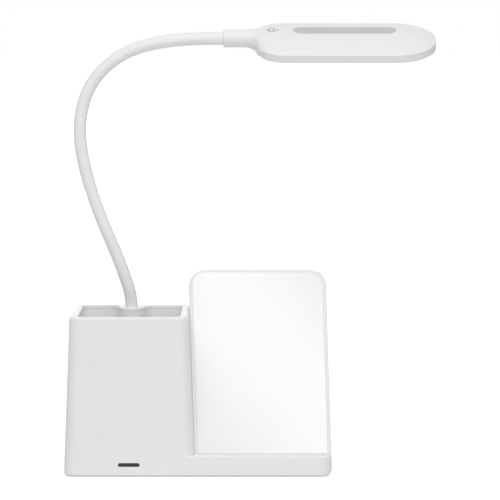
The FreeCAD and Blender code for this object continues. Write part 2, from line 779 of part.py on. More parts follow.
def make_usb_socket():
    """Metal shell of a small oval charging socket, with its tongue."""
    mouth = usb_place()
    shell = slot_through_wall(usb_width, usb_height, mouth, mouth.y - usb_length, mouth.y)
    shell = shell.cut(slot_through_wall(usb_width - 2 * usb_shell, usb_height - 2 * usb_shell, mouth,
                                        mouth.y - usb_length + 0.8, mouth.y + 1))
    tongue = box(mouth.x - 3.3, mouth.x + 3.3, mouth.y - usb_length + 0.5, mouth.y - 0.8,
                 mouth.z - 0.35, mouth.z + 0.35)
    return fuse([shell, tongue])


# ---- gooseneck ----------------------------------------------------------------------------------
def neck_stations():
    """Start point and heading of each arc, then of the end; a heading leans from +Z towards +X."""
    stations = []
    point, heading = V(neck_x, neck_y, rim_underside), 0.0
    for length, turn in neck_arcs:
        stations.append((point, heading))
        point = along_arc(point, heading, length, turn, length)
        heading += turn
    stations.append((point, heading))
    return stations


def direction(heading):
    angle = math.radians(heading)
    return V(math.sin(angle), 0, math.cos(angle))


def side_of(heading):
    angle = math.radians(heading)
    return V(math.cos(angle), 0, -math.sin(angle))


def arc_centre(point, heading, length, turn):
    radius = length / math.radians(turn)
    return point + side_of(heading) * radius


def along_arc(point, heading, length, turn, distance):
    radius = length / math.radians(turn)
    centre = arc_centre(point, heading, length, turn)
    return centre - side_of(heading + turn * distance / length) * radius


def arc_rod(number, radius, skip_start, skip_end):
    """Round bar that follows one arc of the neck, short of its ends by the two lengths."""
    point, heading = neck_stations()[number]
    length, turn = neck_arcs[number]
    start = along_arc(point, heading, length, turn, skip_start)
    start_heading = heading + turn * skip_start / length
    disc = Part.Face(Part.Wire(Part.Circle(start, direction(start_heading), radius).toShape()))
    swept = turn * (length - skip_start - skip_end) / length
    return disc.revolve(arc_centre(point, heading, length, turn), ALONG_Y, swept)


def make_sleeve(number):
    """Outer tube of one arc: a hollow ball end at its far pivot, a socket at its near pivot."""
    stations = neck_stations()
    start, start_heading = stations[number]
    end, end_heading = stations[number + 1]
    first, last = number == 0, number == len(neck_arcs) - 1
    tube = arc_rod(number, sleeve_radius, 0 if first else socket_lip, 0)
    bore_radius = hose_radius + hose_fit
    bore = arc_rod(number, bore_radius, 0, 0)
    if last:
        tail = direction(end_heading)
        tube = tube.fuse(cylinder(sleeve_radius, end, collar_seat, tail))
        bore = bore.fuse(cylinder(bore_radius, end, collar_seat, tail))
    else:
        reach = math.degrees(math.asin(ball_length / sleeve_radius))
        ball = Part.makeSphere(sleeve_radius, end, direction(end_heading), 0, reach)
        near = hose_radius / math.cos(math.radians(bend_limit)) + socket_play
        far = near + ball_length * math.tan(math.radians(bend_limit))
        tube = tube.fuse(ball)
        way_out = direction(end_heading)
        relief = cylinder(near, end - way_out * socket_relief, socket_relief, way_out)
        bore = bore.fuse([relief, Part.makeCone(near, far, ball_length, end, way_out)])
    sleeve = tube.cut(bore)
    if not first:
        sleeve = sleeve.cut(Part.makeSphere(sleeve_radius + socket_play, start))
    return sleeve.removeSplitter()


def make_hose(number):
    """Bendable steel hose inside the sleeve, stopped short of each pivot."""
    stations = neck_stations()
    first, last = number == 0, number == len(neck_arcs) - 1
    near, far = 0 if first else hose_stop, 0 if last else hose_stop
    outer = arc_rod(number, hose_radius, near, far)
    inner = arc_rod(number, hose_bore, near, far)
    if first:
        drop = ferrule_flange + ferrule_length - 2.0
        outer = outer.fuse(upright(hose_radius, neck_x, neck_y, rim_underside - drop, rim_underside))
        inner = inner.fuse(upright(hose_bore, neck_x, neck_y, rim_underside - drop, rim_underside))
    if last:
        end, heading = stations[-1]
        outer = outer.fuse(cylinder(hose_radius, end, head_neck_length, direction(heading)))
        inner = inner.fuse(cylinder(hose_bore, end, head_neck_length, direction(heading)))
    return outer.cut(inner).removeSplitter()


def bent_rod(points, radius, bend):
    """Round lead along straight runs joined by tangent arcs."""
    edges = []
    at = points[0]
    for before, corner, after in zip(points, points[1:], points[2:]):
        inwards = (before - corner).normalize()
        outwards = (after - corner).normalize()
        half_turn = (math.pi - inwards.getAngle(outwards)) / 2
        back = bend * math.tan(half_turn)
        enter, leave = corner + inwards * back, corner + outwards * back
        hub_way = (inwards + outwards).normalize()
        hub = corner + hub_way * (bend / math.cos(half_turn))
        edges.append(line(at, enter))
        edges.append(arc(enter, hub - hub_way * bend, leave))
        at = leave
    edges.append(line(at, points[-1]))
    path = Part.Wire(edges)
    start = (points[1] - points[0]).normalize()
    ring = Part.Wire(Part.Circle(points[0], start, radius).toShape())
    return path.makePipeShell([ring], True, False)


def lead_plug():
    """Where the lamp lead meets its plug on the main board."""
    z = board_height + board_size.z + plug_size.z / 2
    return V(board_left + plug_edge, board_y() + plug_from_front + plug_size.y / 2, z)


def make_lead(number):
    """Two-core lamp lead inside the hose; its ends run to the main board and the light board."""
    stations = neck_stations()
    first, last = number == 0, number == len(neck_arcs) - 1
    rod = arc_rod(number, lead_radius, 0 if first else lead_stop, 0 if last else lead_stop)
    if first:
        plug = lead_plug()
        low = plug.z
        run = [V(neck_x, neck_y, rim_underside), V(neck_x, neck_y, low),
               V(neck_x + lead_corner, plug.y, low), plug]
        rod = rod.fuse(bent_rod(run, lead_radius, lead_bend))
    if last:
        end = stations[-1][0]
        level = led_socket_w
        out_u = head_neck_length + lead_exit
        across_u = button_u - button_radius - button_flange
        run = [end, end + V(out_u, 0, 0), end + head_turn(V(across_u, led_socket_v, level * 0.6)),
               end + head_turn(V(led_board_start - 3 * lead_head_bend, led_socket_v, level)),
               end + head_turn(V(led_board_start, led_socket_v, level))]
        rod = rod.fuse(bent_rod(run, lead_radius, lead_head_bend))
    return rod.removeSplitter()


def make_neck_ferrule():
    """Turned ferrule crimped on the hose: its flange sits in the top of the column."""
    top = rim_underside
    flange = upright(ferrule_flange_radius, neck_x, neck_y, top - ferrule_flange, top)
    shank = upright(ferrule_shank_radius, neck_x, neck_y, top - ferrule_flange - ferrule_length,
                    top - ferrule_flange)
    shank = shank.makeChamfer(0.5, edges_where(
        shank, lambda p, e: abs(p.z - (top - ferrule_flange - ferrule_length)) < 0.01))
    body = flange.fuse(shank)
    body = body.cut(upright(hose_radius + 0.02, neck_x, neck_y,
                            top - ferrule_flange - ferrule_length + 2.0, top + 1))
    body = body.cut(upright(hose_bore + 0.1, neck_x, neck_y, top - 2 * ferrule_length, top))
    return body.removeSplitter()


def make_neck_washer():
    top = rim_underside - column_plate
    ring = upright(washer_radius, neck_x, neck_y, top - washer_thickness, top)
    return ring.cut(upright(ferrule_shank_radius + ferrule_fit, neck_x, neck_y, top - 5, top + 1))


def make_neck_nut():
    top = rim_underside - column_plate - washer_thickness
    nut = hexagon(nut_across_flats, V(neck_x, neck_y, top - nut_height), nut_height)
    corner = nut_across_flats / math.sqrt(3)
    crown = Part.makeCone(corner - 0.5, corner + 2.0, 1.5, V(neck_x, neck_y, top - nut_height))
    body = upright(corner + 1, neck_x, neck_y, top - nut_height + 1.5, top)
    nut = nut.common(crown.fuse(body))
    return nut.cut(upright(ferrule_shank_radius + 0.02, neck_x, neck_y, top - 10, top + 1))


# ---- head, drawn lying flat with its neck's end at the origin, then turned and put in place ------
def head_turn(point):
    """Direction in the flat head's own axes, turned as the head is."""
    angle = math.radians(head_roll)
    return V(point.x, point.y * math.cos(angle) - point.z * math.sin(angle),
             point.y * math.sin(angle) + point.z * math.cos(angle))


def in_place(shape):
    end = neck_stations()[-1][0]
    placed = shape.copy()
    placed.rotate(V(0, 0, 0), V(1, 0, 0), head_roll)
    placed.translate(end)
    return placed


def shoulder_arcs():
    """Hubs and radii, in plan, of the hollow arc and the round arc that make one shoulder."""
    rise = head_half_width - head_half_height
    run = head_shoulder - head_neck_length
    convex = (run ** 2 + rise ** 2) / (2 * rise) - shoulder_concave
    hollow_hub = V(head_neck_length, head_half_height + shoulder_concave, 0)
    round_hub = V(head_shoulder, head_half_width - convex, 0)
    return hollow_hub, shoulder_concave, round_hub, convex


def shoulder_stages():
    """Distance along the head and half width of each section, spaced evenly round the two arcs."""
    hollow_hub, concave, round_hub, convex = shoulder_arcs()
    swing = math.atan2(round_hub.x - hollow_hub.x, hollow_hub.y - round_hub.y)
    stages = []
    for step in range(hollow_sections):
        turn = swing * step / hollow_sections
        stages.append((hollow_hub.x + concave * math.sin(turn), hollow_hub.y - concave * math.cos(turn)))
    for step in range(round_sections + 1):
        turn = swing * (1 - step / round_sections)
        stages.append((round_hub.x - convex * math.sin(turn), round_hub.y + convex * math.cos(turn)))
    return stages


def head_section(u, half_width, inset):
    """Cross-section of the head: a dome, two side walls and a flat underside."""
    radius = head_half_height - inset
    s = min(max((u - head_neck_length) / side_wall_reach, 0), 1)
    s = s * s * (3 - 2 * s)
    crease, lower = math.radians(crease_angle), math.radians(lower_angle)
    middle = (crease + lower) / 2
    spread = half_width - head_half_height
    width = half_width - inset
    opened = min(spread / head_half_height, 1)

    def mix(v_neck, v_paddle):
        return v_neck * (1 - s) + v_paddle * s
    crease_v = width - radius * (1 - math.cos(crease)) * (1 - opened)
    crease_w = mix(radius * math.sin(crease), paddle_edge - inset)
    lower_v = mix(radius * math.cos(lower) + spread, width)
    lower_w = mix(radius * math.sin(lower), -radius)
    middle_v = mix(radius * math.cos(middle) + spread, width)
    middle_w = mix(radius * math.sin(middle), (paddle_edge - inset - radius) / 2)
    top, bottom = V(u, 0, radius), V(u, 0, -radius)
    right_crease, left_crease = V(u, -crease_v, crease_w), V(u, crease_v, crease_w)
    right_lower, left_lower = V(u, -lower_v, lower_w), V(u, lower_v, lower_w)
    flat = s > 0.999
    return Part.Wire([
        arc(right_crease, top, left_crease),
        line(left_crease, left_lower) if flat else arc(left_crease, V(u, middle_v, middle_w), left_lower),
        line(left_lower, right_lower) if flat else arc(left_lower, bottom, right_lower),
        line(right_lower, right_crease) if flat else arc(right_lower, V(u, -middle_v, middle_w),
                                                         right_crease)])


def head_form(inset):
    """Outside of the head, or its inside when inset by the wall."""
    sections = [head_section(u, half_width, inset) for u, half_width in shoulder_stages()]
    shoulder = Part.makeLoft(sections, True, False)
    paddle = Part.Face(sections[-1]).extrude(V(tip_centre - head_shoulder, 0, 0))
    width, radius = head_half_width - inset, head_half_height - inset
    half = [V(0, 0, radius), V(0, 0, -radius), V(width, 0, -radius), V(width, 0, paddle_edge - inset)]
    mid_v = width * 0.55
    dome_radius = (width ** 2 + (radius - half[3].z) ** 2) / (2 * (radius - half[3].z))
    mid = V(mid_v, 0, radius - dome_radius + math.sqrt(dome_radius ** 2 - mid_v ** 2))
    profile = Part.Wire([line(half[0], half[1]), line(half[1], half[2]), line(half[2], half[3]),
                         arc(half[3], mid, half[0])])
    tip = Part.Face(profile).revolve(V(0, 0, 0), UP, 180)
    tip.rotate(V(0, 0, 0), UP, -90)
    tip.translate(V(tip_centre, 0, 0))
    form = shoulder.fuse([paddle, tip])
    if inset == 0:
        form = form.fuse(cylinder(radius, V(0, 0, 0), head_neck_length, V(1, 0, 0)))
    return form.removeSplitter()


def plan_slab(inset, start, w, thickness):
    """Level slab with the head's plan, drawn in by inset and cut off square at start."""
    hollow_hub, concave, round_hub, convex = shoulder_arcs()
    facing = math.degrees(math.atan2(round_hub.y - hollow_hub.y, round_hub.x - hollow_hub.x))
    near = [arc_about(hollow_hub, concave + inset, -90, facing),
            arc_about(round_hub, convex - inset, facing + 180, 90),
            line(V(head_shoulder, head_half_width - inset, 0), V(tip_centre, head_half_width - inset, 0))]
    far = [edge.mirror(V(0, 0, 0), ALONG_Y) for edge in near]
    tip = arc_about(V(tip_centre, 0, 0), head_half_width - inset, -90, 90)
    side = head_half_height - inset
    back = line(V(head_neck_length, -side, 0), V(head_neck_length, side, 0))
    outline = Part.Wire(Part.__sortEdges__(near + far + [tip, back]))
    outline.translate(V(0, 0, w))
    slab = prism(outline, thickness)
    return slab.common(box(start, head_length, -head_length, head_length, w, w + thickness))


def window_outline(start, half, corner, w):
    """Plan of the light window and of what fits it: square end with round corners, round tip."""
    return Part.Wire([
        line(V(tip_centre, half, w), V(start + corner, half, w)),
        arc_about(V(start + corner, half - corner, w), corner, 90, 180),
        line(V(start, half - corner, w), V(start, corner - half, w)),
        arc_about(V(start + corner, corner - half, w), corner, 180, 270),
        line(V(start + corner, -half, w), V(tip_centre, -half, w)),
        arc_about(V(tip_centre, 0, w), half, -90, 90)])


def strip_bar(grow):
    centre = V(strip_start + strip_length / 2, 0, 0)
    return prism(racetrack(strip_length + 2 * grow, strip_width + 2 * grow, 0, centre), head_length)


def frame_screw_places():
    v = (window_half_width + diffuser_flange + head_half_width - head_wall) / 2
    return [(u, side * v) for u in head_screw_u for side in (-1, 1)]


def led_screw_places():
    return [(head_screw_u[0] + 5.0, 0.0), (head_screw_u[1] + 3.0, 0.0)]


def button_screw_places():
    reach = button_board_half - 1.7
    return [(button_u - reach, -reach), (button_u + reach, reach)]


def make_head_top_shell():
    outside = head_form(0)
    hollow = head_form(head_wall).common(box(cavity_start, head_length, -head_length, head_length,
                                             -head_length, head_length))
    opening = plan_slab(head_wall, opening_start, -head_half_height - 1, frame_thickness + 1.05)
    shell = outside.cut([hollow, opening])
    posts = [upright(head_post_radius, u, v, frame_top, head_half_height) for u, v in frame_screw_places()]
    posts += [upright(head_post_radius, u, v, board_top, head_half_height) for u, v in led_screw_places()]
    posts += [upright(head_post_radius - 0.4, u, v, button_board_top, head_half_height)
              for u, v in button_screw_places()]
    skin = head_form(head_wall / 2)
    shell = shell.fuse([post.common(skin) for post in posts])
    along = V(1, 0, 0)
    shell = shell.cut(cylinder(sleeve_radius + ferrule_fit, V(-1, 0, 0), collar_seat + 1, along))
    shell = shell.cut(cylinder(ferrule_shank_radius + ferrule_fit, V(0, 0, 0), cavity_start + 1, along))
    for u, v in frame_screw_places():
        shell = shell.cut(upright(head_screw_radius, u, v, frame_top - 1, frame_top + head_screw_length))
    for u, v in led_screw_places():
        shell = shell.cut(upright(head_screw_radius, u, v, board_top - 1, inner_top - 0.4))
    for u, v in button_screw_places():
        shell = shell.cut(upright(head_screw_radius, u, v, button_board_top - 1,
                                  button_board_top + head_screw_length))
    shell = shell.cut(upright(head_screw_radius + 0.2, clamp_u, 0, -head_length, frame_top + 0.5))
    shell = shell.cut(upright(head_screw_head_radius + 0.2, clamp_u, 0, -head_length,
                              -head_half_height + head_screw_head_height))
    shell = shell.cut(strip_bar(strip_gap).cut(head_form(strip_depth)))
    shell = shell.cut(upright(button_radius + button_gap, button_u, 0, 0, head_length))
    return shell.removeSplitter()


def make_head_frame():
    """Closes the head from below, with the window for the light."""
    plate = plan_slab(head_wall + frame_gap, opening_start + frame_gap, -head_half_height - 1,
                      frame_thickness + 1)
    plate = plate.common(head_form(0))
    plate = plate.cut(prism(window_outline(window_start, window_half_width, window_corner,
                                           -head_length), 2 * head_length))
    for u, v in frame_screw_places():
        plate = plate.cut(upright(head_screw_radius + 0.15, u, v, -head_length, head_length))
        plate = plate.cut(upright(head_screw_head_radius + 0.15, u, v, -head_length,
                                  -head_half_height + head_screw_head_height))
    return plate.removeSplitter()


def make_diffuser():
    body = prism(window_outline(window_start + diffuser_gap, window_half_width - diffuser_gap,
                                window_corner, -head_half_height), frame_thickness)
    lip = prism(window_outline(window_start - diffuser_flange + diffuser_gap,
                               window_half_width + diffuser_flange - diffuser_gap,
                               window_corner, frame_top), diffuser_lip)
    return fuse([body, lip])


def make_led_board():
    board = prism(window_outline(led_board_start, led_board_half_width, 3.0, led_board_underside),
                  led_board_thickness)
    for u, v in led_screw_places():
        board = board.cut(upright(head_screw_radius + 0.2, u, v, -head_length, head_length))
    half = led_socket_size.y / 2
    socket = box(led_board_start, led_board_start + led_socket_size.x, led_socket_v - half,
                 led_socket_v + half, led_board_underside - led_socket_size.z, led_board_underside)
    socket = socket.cut(cylinder(lead_radius + 0.1, V(led_board_start - 1, led_socket_v, led_socket_w),
                                 2.0, V(1, 0, 0)))
    return board.fuse(socket)


def make_led_chips():
    chips = []
    first_u = led_board_start + led_edge
    pitch_u = (tip_centre + led_board_half_width - led_edge - first_u) / (led_columns - 1)
    pitch_v = 2 * (led_board_half_width - led_row_edge) / (led_rows - 1)
    for column in range(led_columns):
        for row in range(led_rows):
            u, v = first_u + column * pitch_u, (row - (led_rows - 1) / 2) * pitch_v
            chips.append(box(u - led_size.x / 2, u + led_size.x / 2, v - led_size.y / 2,
                             v + led_size.y / 2, led_board_underside - led_size.z, led_board_underside))
    return Part.makeCompound(chips)


def make_accent_strip():
    """Inlay in the top of the head, flush with the dome."""
    return strip_bar(0).common(head_form(0)).cut(head_form(strip_depth))


def make_power_button():
    top = head_half_height + button_proud
    cap = upright(button_radius, button_u, 0, cap_underside, top)
    cap = cap.makeFillet(0.4, edges_where(cap, lambda p, e: abs(p.z - top) < 0.01))
    flange = upright(button_radius + button_flange, button_u, 0, cap_underside,
                     cap_underside + button_flange_thickness)
    stem = upright(1.3, button_u, 0, switch_top + 1.0, cap_underside)
    return fuse([cap, flange, stem])


def make_switch_plunger():
    return upright(plunger_radius, button_u, 0, switch_top - 1.0, switch_top + 1.0)


def make_button_switch():
    body = box(button_u - switch_half, button_u + switch_half, -switch_half, switch_half,
               button_board_top, switch_top)
    return body.cut(upright(plunger_radius + plunger_play, button_u, 0,
                            switch_top - 1.0 - button_travel - 0.1, switch_top + 1))


def make_button_board():
    board = box(button_u - button_board_half, button_u + button_board_half,
                -button_board_half, button_board_half, button_board_underside, button_board_top)
    for u, v in button_screw_places():
        board = board.cut(upright(head_screw_radius + 0.2, u, v, -head_length, head_length))
    return board


def small_screws(places, seat, length):
    """Screws driven upwards: seat is the face that their heads press on."""
    return [screw(head_screw_radius, head_screw_head_radius, head_screw_head_height,
                  V(u, v, seat - head_screw_head_height), length) for u, v in places]


def make_head_screws():
    """The screws of the frame and the neck clamp, then those of the two boards."""
    seat = -head_half_height + head_screw_head_height
    outer = small_screws(frame_screw_places() + [(clamp_u, 0.0)], seat, head_screw_length)
    led = small_screws(led_screw_places(), led_board_underside, head_screw_length)
    button = small_screws(button_screw_places(), button_board_underside, head_screw_length)
    return Part.makeCompound(outer + led + button)


def make_head_ferrule():
    along = V(1, 0, 0)
    shank_start = collar_seat + 0.6
    body = cylinder(ferrule_shank_radius, V(shank_start, 0, 0), cavity_start - shank_start, along)
    body = body.fuse(cylinder(head_half_height - head_wall - 0.2, V(cavity_start, 0, 0), 1.4, along))
    body = body.cut(cylinder(hose_radius + 0.02, V(0, 0, 0), head_neck_length + 0.2, along))
    return body.cut(cylinder(hose_bore + 0.1, V(0, 0, 0), cavity_start + 5, along)).removeSplitter()


def make_neck_clamp():
    half = clamp_length / 2
    block = box(clamp_u - half, clamp_u + half, -2 * half, 2 * half, frame_top + 0.1, clamp_top)
    block = block.common(head_form(head_wall + 0.1))
    return block.cut(upright(head_screw_radius, clamp_u, 0, -head_length, 0))


BASE = {
    "base_housing": make_base_housing, "phone_panel": make_phone_panel, "pen_cup": make_pen_cup,
    "indicator_lens": make_indicator_lens, "indicator_board": make_indicator_board,
    "indicator_leds": make_indicator_leds, "bottom_cover": make_bottom_cover,
    "foot_ring": make_foot_ring, "bottom_screws": make_bottom_screws,
    "ballast_plate": make_ballast_plate, "battery_cells": make_battery_cells,
    "battery_cradle": make_battery_cradle, "contact_strips": make_contact_strips,
    "main_board": make_main_board, "board_parts": make_board_parts, "board_screws": make_board_screws,
    "usb_socket": make_usb_socket, "neck_ferrule": make_neck_ferrule, "neck_washer": make_neck_washer,
    "neck_nut": make_neck_nut}

NECK = {"neck_sleeve": make_sleeve, "neck_hose": make_hose, "lamp_lead": make_lead}

HEAD = {
    "head_top_shell": make_head_top_shell, "head_frame": make_head_frame, "diffuser": make_diffuser,
    "led_board": make_led_board, "led_chips": make_led_chips, "accent_strip": make_accent_strip,
    "power_button": make_power_button, "switch_plunger": make_switch_plunger,
    "button_switch": make_button_switch, "button_board": make_button_board,
    "head_screws": make_head_screws, "head_ferrule": make_head_ferrule,
    "neck_clamp": make_neck_clamp}


def build():
    """Every sub-part by name, each in the lamp's own frame."""
    parts = {name: maker() for name, maker in BASE.items()}
    for name, maker in NECK.items():
        for number in range(len(neck_arcs)):
            parts["%s_%d" % (name, number)] = maker(number)
    parts.update({name: in_place(maker()) for name, maker in HEAD.items()})
    return parts


def main():
    os.makedirs("parts", exist_ok=True)
    for name, shape in build().items():
        print(name, shape.isValid(), len(shape.Solids), round(shape.Volume), shape.BoundBox)
        shape.exportStep("parts/" + name + ".step")


if __name__ == "__main__":
    main()
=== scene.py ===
import json
import math

import bpy
from mathutils import Euler, Matrix, Vector


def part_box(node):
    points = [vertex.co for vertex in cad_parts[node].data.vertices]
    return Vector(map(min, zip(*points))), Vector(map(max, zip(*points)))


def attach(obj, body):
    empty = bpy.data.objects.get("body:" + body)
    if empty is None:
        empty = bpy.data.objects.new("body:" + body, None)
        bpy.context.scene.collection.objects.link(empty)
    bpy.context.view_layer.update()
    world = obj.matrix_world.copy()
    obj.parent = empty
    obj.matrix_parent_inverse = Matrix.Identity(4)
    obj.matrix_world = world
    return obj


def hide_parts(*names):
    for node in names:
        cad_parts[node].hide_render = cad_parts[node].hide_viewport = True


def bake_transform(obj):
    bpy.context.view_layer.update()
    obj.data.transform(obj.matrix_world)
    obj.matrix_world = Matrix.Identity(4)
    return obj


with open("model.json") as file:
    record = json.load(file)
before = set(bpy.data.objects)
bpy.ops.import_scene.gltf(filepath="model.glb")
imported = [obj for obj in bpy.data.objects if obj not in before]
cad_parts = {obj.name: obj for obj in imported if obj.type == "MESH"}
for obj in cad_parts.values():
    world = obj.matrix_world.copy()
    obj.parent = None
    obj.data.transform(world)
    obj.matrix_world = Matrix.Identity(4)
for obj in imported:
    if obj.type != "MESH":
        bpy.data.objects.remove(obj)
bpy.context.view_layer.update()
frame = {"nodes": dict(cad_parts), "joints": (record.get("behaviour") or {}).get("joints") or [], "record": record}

# A white desk lamp: a pen holder with a leaning phone rest beside it, a gooseneck and a flat head.
# Metres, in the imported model's own frame, which puts the origin under the middle of the base.


# ---- sizes --------------------------------------------------------------------------------------
MM = 0.001

MERGE = 0.001 * MM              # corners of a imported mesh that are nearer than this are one
CREASE = 35                     # degrees: edges sharper than this stay crisp
PANEL_CREASE = 30
SKIN_CREASE = 40

PANEL_GROWTH = 0.12 * MM        # at each edge of the phone panel, into its seam

SKIN_SIDES = 48
SKIN_STEPS = 12                 # along half an arc of the neck, or the whole of an end arc
SKIN_PLAY = 0.05 * MM           # between the rubber skin and the steel hose
COLLAR_SEAT = 3.0 * MM          # the skin is let into the head by this much

COLLAR_RADIUS = 6.0 * MM        # round neck of the head
COLLAR_ROUNDING = 0.6 * MM
COLLAR_STEPS = 4
COLLAR_DEPTH_SLACK = 0.01 * MM  # how far the corners of its edge may be from its end face
COLLAR_SLACK = 0.02 * MM        # and from the true circle

BUTTON_PROUD = 0.3 * MM
INK_WIDTH = 0.6 * MM
INK_SUNK = 0.05 * MM            # the print reaches this far into its face, so that no gap shows
INK_PROUD = 0.03 * MM
RING_RADIUS = 2.6 * MM
RING_GAP = 32.0                 # degrees, on each side of the bar
RING_STEPS = 40
BAR_ON_BUTTON = (0.6 * MM, 2.4 * MM)    # start and end along the head, from the middle of the button
BAR_ON_HEAD = (3.2 * MM, 4.8 * MM)


# ---- materials ----------------------------------------------------------------------------------
SATIN_SPREAD = 0.05             # roughness of moulded ABS varies by this much either way
PLAIN_SPREAD = 0.15             # that of the plain materials by this share
TONE_DRIFT = 45.0 * MM          # size of the patches in which moulded ABS changes tone
SHEET_WAVES = 30.0 * MM         # length of the waves in polished acrylic
RUBBER_NAP = 0.9 * MM           # grain of the powdery nap on silicone rubber


def linear(colour):
    """An sRGB hex colour as linear red, green, blue and alpha, by the standard's own curve."""
    shares = [int(colour[i:i + 2], 16) / 255 for i in (1, 3, 5)]
    return [c / 12.92 if c <= 0.04045 else ((c + 0.055) / 1.055) ** 2.4 for c in shares] + [1.0]


def add(tree, kind, settings, sockets):
    """Adds a node with its settings; a socket takes a value or another node's output."""
    made = tree.nodes.new(kind)
    for name, value in settings.items():
        setattr(made, name, value)
    for name, value in sockets.items():
        if isinstance(value, bpy.types.NodeSocket):
            tree.links.new(value, made.inputs[name])
        else:
            made.inputs[name].default_value = value
    return made


def new_material(name):
    """An empty node material and its Object coordinates."""
    material = bpy.data.materials.new(name)
    material.use_nodes = True
    tree = material.node_tree
    tree.nodes.clear()
    place = add(tree, "ShaderNodeTexCoord", {}, {}).outputs["Object"]
    return material, tree, place


def finish_surface(tree, sockets):
    """Ends a material with one Principled shader."""
    shader = add(tree, "ShaderNodeBsdfPrincipled", {}, sockets)
    add(tree, "ShaderNodeOutputMaterial", {}, {"Surface": shader.outputs["BSDF"]})


def moulded_abs(name, colour, shade, roughness, grain_mm, grain_depth_mm):
    """White ABS from a spark-eroded mould: an even satin skin that drifts a little in tone."""
    material, tree, place = new_material(name)
    drift = add(tree, "ShaderNodeTexNoise", {}, {"Vector": place, "Scale": 1 / TONE_DRIFT, "Detail": 2.0})
    tone = add(tree, "ShaderNodeMix", {"data_type": "RGBA"},
               {"Factor": drift.outputs["Fac"], 6: linear(colour), 7: linear(shade)})
    grain = add(tree, "ShaderNodeTexNoise", {},
                {"Vector": place, "Scale": 1 / (grain_mm * MM), "Detail": 3.0, "Roughness": 0.6})
    satin = add(tree, "ShaderNodeMapRange", {},
                {"Value": grain.outputs["Fac"],
                 "To Min": roughness - SATIN_SPREAD, "To Max": roughness + SATIN_SPREAD})
    bump = add(tree, "ShaderNodeBump", {},
               {"Height": grain.outputs["Fac"], "Distance": grain_depth_mm * MM, "Strength": 0.5})
    finish_surface(tree, {"Base Color": tone.outputs[2], "Roughness": satin.outputs["Result"],
                          "Normal": bump.outputs["Normal"], "IOR": 1.53, "Specular IOR Level": 0.3})
    return material


def polished_acrylic():
    """White cast acrylic, flame-polished: nearly mirror-smooth, with the slow waves of a moulded sheet."""
    material, tree, place = new_material("polished_white_acrylic")
    waves = add(tree, "ShaderNodeTexNoise", {}, {"Vector": place, "Scale": 1 / SHEET_WAVES, "Detail": 1.0})
    bump = add(tree, "ShaderNodeBump", {},
               {"Height": waves.outputs["Fac"], "Distance": 0.05 * MM, "Strength": 0.3})
    smudge = add(tree, "ShaderNodeMapRange", {},
                 {"Value": waves.outputs["Fac"], "To Min": 0.12, "To Max": 0.16})
    finish_surface(tree, {"Base Color": linear("#eff0f0"), "Roughness": smudge.outputs["Result"],
                          "Normal": bump.outputs["Normal"], "IOR": 1.49})
    return material


def silicone_skin():
    """White silicone rubber, extruded and drawn over the gooseneck: dull, with a faint powdery nap."""
    material, tree, place = new_material("white_silicone_rubber")
    nap = add(tree, "ShaderNodeTexNoise", {},
              {"Vector": place, "Scale": 1 / RUBBER_NAP, "Detail": 4.0, "Roughness": 0.65})
    bump = add(tree, "ShaderNodeBump", {},
               {"Height": nap.outputs["Fac"], "Distance": 0.01 * MM, "Strength": 0.2})
    dull = add(tree, "ShaderNodeMapRange", {},
               {"Value": nap.outputs["Fac"], "To Min": 0.5, "To Max": 0.62})
    finish_surface(tree, {"Base Color": linear("#f1f1f0"), "Roughness": dull.outputs["Result"],
                          "Normal": bump.outputs["Normal"], "IOR": 1.42, "Specular IOR Level": 0.3})
    return material


def plain_solid(name, colour, roughness, metallic, grain_mm, depth_mm):
    """A hard material of one colour with a fine grain, such as a metal, a board or a lens."""
    material, tree, place = new_material(name)
    grain = add(tree, "ShaderNodeTexNoise", {},
                {"Vector": place, "Scale": 1 / (grain_mm * MM), "Detail": 3.0})
    spread = add(tree, "ShaderNodeMapRange", {},
                 {"Value": grain.outputs["Fac"],
                  "To Min": roughness * (1 - PLAIN_SPREAD), "To Max": roughness * (1 + PLAIN_SPREAD)})
    bump = add(tree, "ShaderNodeBump", {},
               {"Height": grain.outputs["Fac"], "Distance": depth_mm * MM, "Strength": 0.4})
    finish_surface(tree, {"Base Color": linear(colour), "Metallic": metallic,
                          "Roughness": spread.outputs["Result"], "Normal": bump.outputs["Normal"]})
    return material


